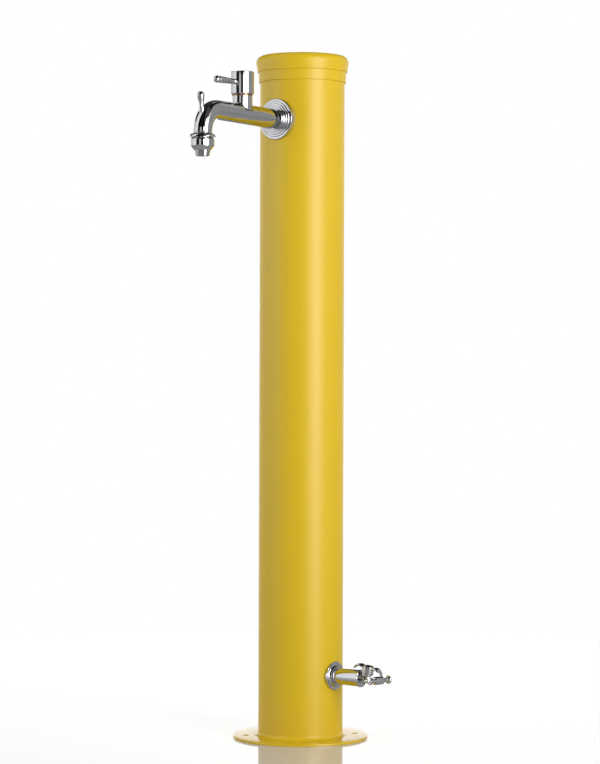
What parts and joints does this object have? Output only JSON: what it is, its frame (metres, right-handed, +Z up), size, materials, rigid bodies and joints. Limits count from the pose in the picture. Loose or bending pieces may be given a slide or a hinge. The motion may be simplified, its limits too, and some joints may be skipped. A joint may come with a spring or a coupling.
{
  "type": "garden water post",
  "caption": "Yellow steel garden water post on a bolted base plate, with a chrome lever bucket tap and hook near the top and a small hose tap with a wing nut near the foot",
  "frame": {"origin": "Centre of the base plate's underside, on the ground and on the post's axis", "axes": "+Z points up along the post. The bucket tap points along -Y and the hose tap along +X."},
  "size_m": [0.217, 0.3093, 0.8865],
  "materials": {
    "yellow_paint": "satin yellow powder coat on steel",
    "polished_chrome": "polished chrome plating on brass",
    "brass": "machined brass",
    "pipe_steel": "drawn stainless steel",
    "black_rubber": "matte black rubber",
    "grey_plastic": "matte grey plastic"
  },
  "bodies": {
    "post": {"base_flange": "yellow_paint", "post_tube": "yellow_paint", "top_cap": "yellow_paint", "supply_inlet": "brass", "inlet_pipe": "pipe_steel", "lower_tee": "brass", "riser_pipe": "pipe_steel", "upper_elbow": "brass", "compression_nuts": "brass", "upper_backing_plate": "pipe_steel", "upper_backnut": "brass", "lower_backing_plate": "pipe_steel", "lower_backnut": "brass", "upper_rosette_seal": "black_rubber", "upper_rosette": "polished_chrome", "upper_tap_body": "polished_chrome", "bucket_hook": "polished_chrome", "upper_cartridge": "brass", "gland_ring": "brass", "splash_skirt": "polished_chrome", "outlet_washer": "black_rubber", "outlet_nozzle": "polished_chrome", "outlet_collar": "polished_chrome", "aerator_insert": "grey_plastic", "lower_rosette_seal": "black_rubber", "lower_rosette": "polished_chrome", "lower_sleeve": "polished_chrome", "sleeve_oring": "black_rubber", "lower_valve_body": "polished_chrome", "lower_cartridge": "brass", "wing_nut_clip": "polished_chrome"},
    "bucket_handle": {"upper_spindle": "brass", "upper_handle_cap": "polished_chrome", "upper_lever": "polished_chrome", "handle_screw": "polished_chrome", "handle_button": "polished_chrome"},
    "hose_lever": {"lower_spindle": "polished_chrome", "lower_lever": "polished_chrome"},
    "hose_wing_nut": {"wing_nut": "polished_chrome"}
  },
  "joints": [
    {"name": "bucket_handle_turn", "type": "hinge", "parent": "post", "child": "bucket_handle", "pos_m": [0, -0.126, 0.84], "axis": [0, 0, 1], "range_deg": [0, 90]},
    {"name": "hose_lever_turn", "type": "hinge", "parent": "post", "child": "hose_lever", "pos_m": [0.1, 0, 0.0812], "axis": [1, 0, 0], "range_deg": [-90, 0]},
    {"name": "wing_nut_turn", "type": "hinge", "parent": "post", "child": "hose_wing_nut", "pos_m": [0.1068, 0, 0.088], "axis": [0.1736, 0, 0.9848], "continuous": true}
  ]
}
